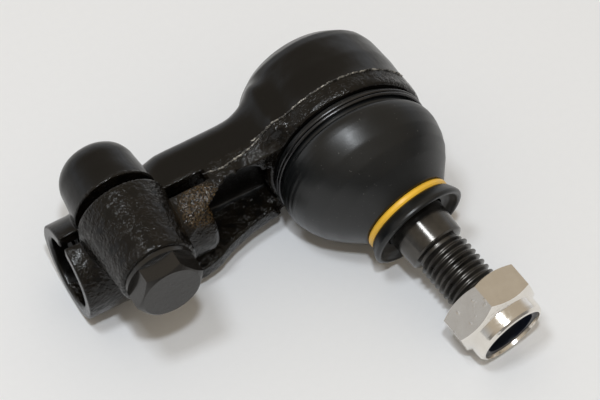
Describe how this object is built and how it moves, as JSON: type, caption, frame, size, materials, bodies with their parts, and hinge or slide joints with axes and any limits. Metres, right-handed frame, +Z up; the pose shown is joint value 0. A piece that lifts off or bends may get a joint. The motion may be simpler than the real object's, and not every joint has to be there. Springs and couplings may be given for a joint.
{
  "type": "tie rod end",
  "caption": "Steering tie rod end: forged arm with a split clamp, and a ball stud under a rubber boot with a lock nut.",
  "frame": {"origin": "centre of the bounding box on the plane that the part rests on, lying on clamp, cup and nut", "axes": "+X along the arm in plan, from the clamp to the ball cup; +Y from the stud towards the cup's back; +Z up"},
  "size_m": [0.0902, 0.0784, 0.0386],
  "materials": {
    "forged_black": "glossy black paint on a rough forging",
    "bearing_plastic": "moulded acetal",
    "spring_steel": "tempered spring steel",
    "cover_black": "black painted pressing",
    "boot_rubber": "matte moulded rubber",
    "ring_wire": "blackened spring wire",
    "ring_yellow": "coloured elastic ring",
    "stud_steel": "oiled blackened steel",
    "zinc_nut": "bright zinc plate",
    "insert_nylon": "dark blue nylon",
    "bolt_black": "black painted bolt"
  },
  "bodies": {
    "housing": {"housing": "forged_black", "front_seat": "bearing_plastic", "pressure_seat": "bearing_plastic", "preload_spring": "spring_steel", "end_cover": "cover_black", "boot_clamp_ring": "ring_wire", "clamp_bolt": "bolt_black"},
    "boot": {"dust_boot": "boot_rubber"},
    "boot_tip": {"boot_neck_ring": "ring_yellow"},
    "stud": {"ball_stud": "stud_steel"},
    "nut_carriage": {"nut_insert": "insert_nylon"},
    "nut": {"lock_nut": "zinc_nut"}
  },
  "joints": [
    {"name": "stud_swing_side", "type": "hinge", "parent": "housing", "child": "boot", "pos_m": [0.02386, 0.02331, 0.0193], "axis": [-0.1188, 0.0329, 0.9924], "range_deg": [-27.65, 8.35], "deforming": ["dust_boot"]},
    {"name": "stud_swing_down", "type": "hinge", "parent": "boot", "child": "boot_tip", "pos_m": [0.02386, 0.02331, 0.0193], "axis": [0.9795, 0.1675, 0.1117], "range_deg": [-30.24, 5.76], "deforming": ["dust_boot"]},
    {"name": "stud_spin", "type": "hinge", "parent": "boot_tip", "child": "stud", "pos_m": [0.02386, 0.02331, 0.0193], "axis": [0.1841, -0.9699, -0.1594], "continuous": true},
    {"name": "nut_travel", "type": "slide", "parent": "stud", "child": "nut_carriage", "axis": [0.1841, -0.9699, -0.1594], "range_m": [-0.01052, 0.00602]},
    {"name": "nut_turn", "type": "hinge", "parent": "nut_carriage", "child": "nut", "pos_m": [0.03318, -0.02577, 0.01123], "axis": [0.1841, -0.9699, -0.1594], "range_deg": [-2524.8, 1444.8]}
  ],
  "couplings": [
    {"joint": "nut_travel", "follows": "nut_turn", "m_per_rad": 0.00023873}
  ]
}
